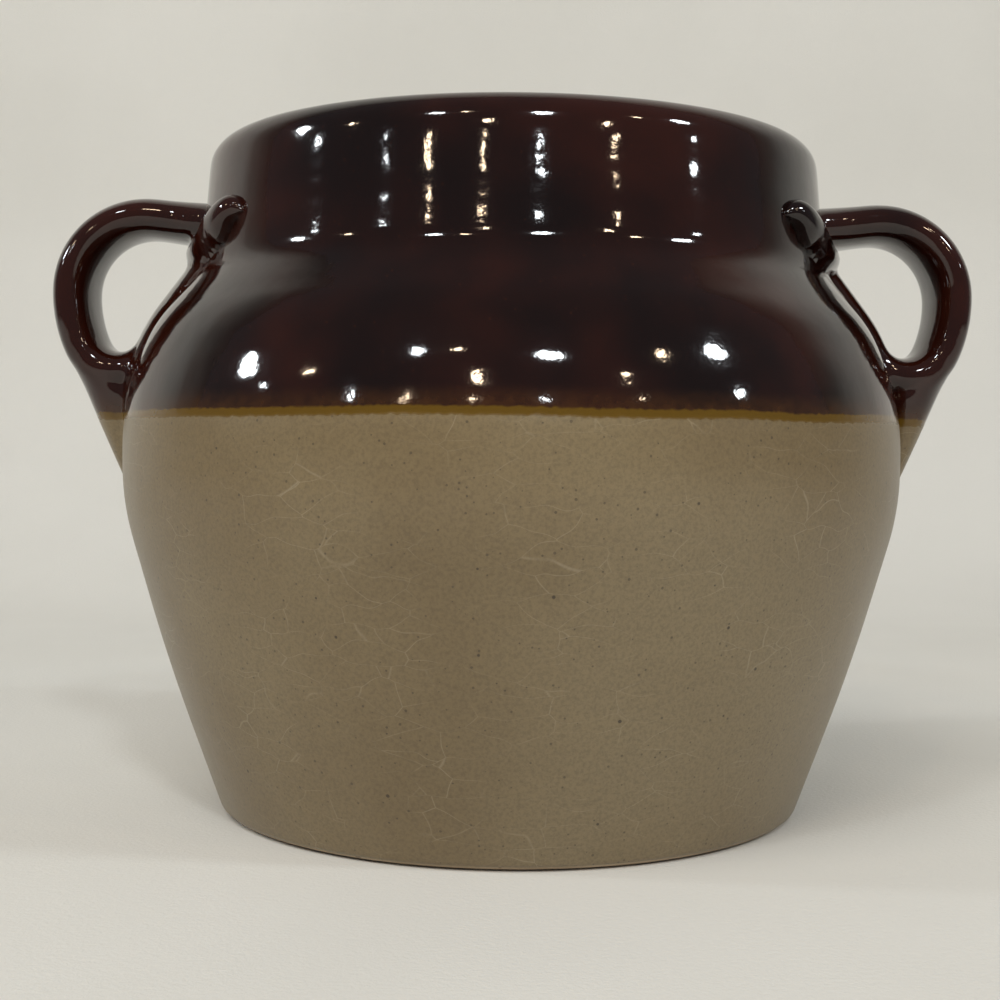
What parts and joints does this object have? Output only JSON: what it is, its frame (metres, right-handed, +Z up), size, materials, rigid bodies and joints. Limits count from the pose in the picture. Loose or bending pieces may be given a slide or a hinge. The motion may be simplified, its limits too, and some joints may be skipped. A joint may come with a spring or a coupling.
{
  "type": "stoneware bean pot",
  "caption": "Round-bellied stoneware bean pot with a straight collar, rolled rim, inner lid gallery and two upright loop handles luted to the shoulder.",
  "frame": {"origin": "centre of the base, on the surface the pot stands on", "axes": "+Z up along the pot's axis, +X through the right handle, -Y towards the viewer of the front"},
  "size_m": [0.2096, 0.175, 0.149],
  "materials": {
    "glazed_stoneware": "two glazes: glossy dark red-brown above the widest part, semi-gloss tan with iron specks and fine crazing below, bare clay under the foot",
    "joining_slip": "fired slip under the same glazes"
  },
  "bodies": {
    "root": {"pot_body": "glazed_stoneware", "right_handle": "glazed_stoneware", "left_handle": "glazed_stoneware", "right_slip_joint": "joining_slip", "left_slip_joint": "joining_slip"}
  },
  "joints": []
}
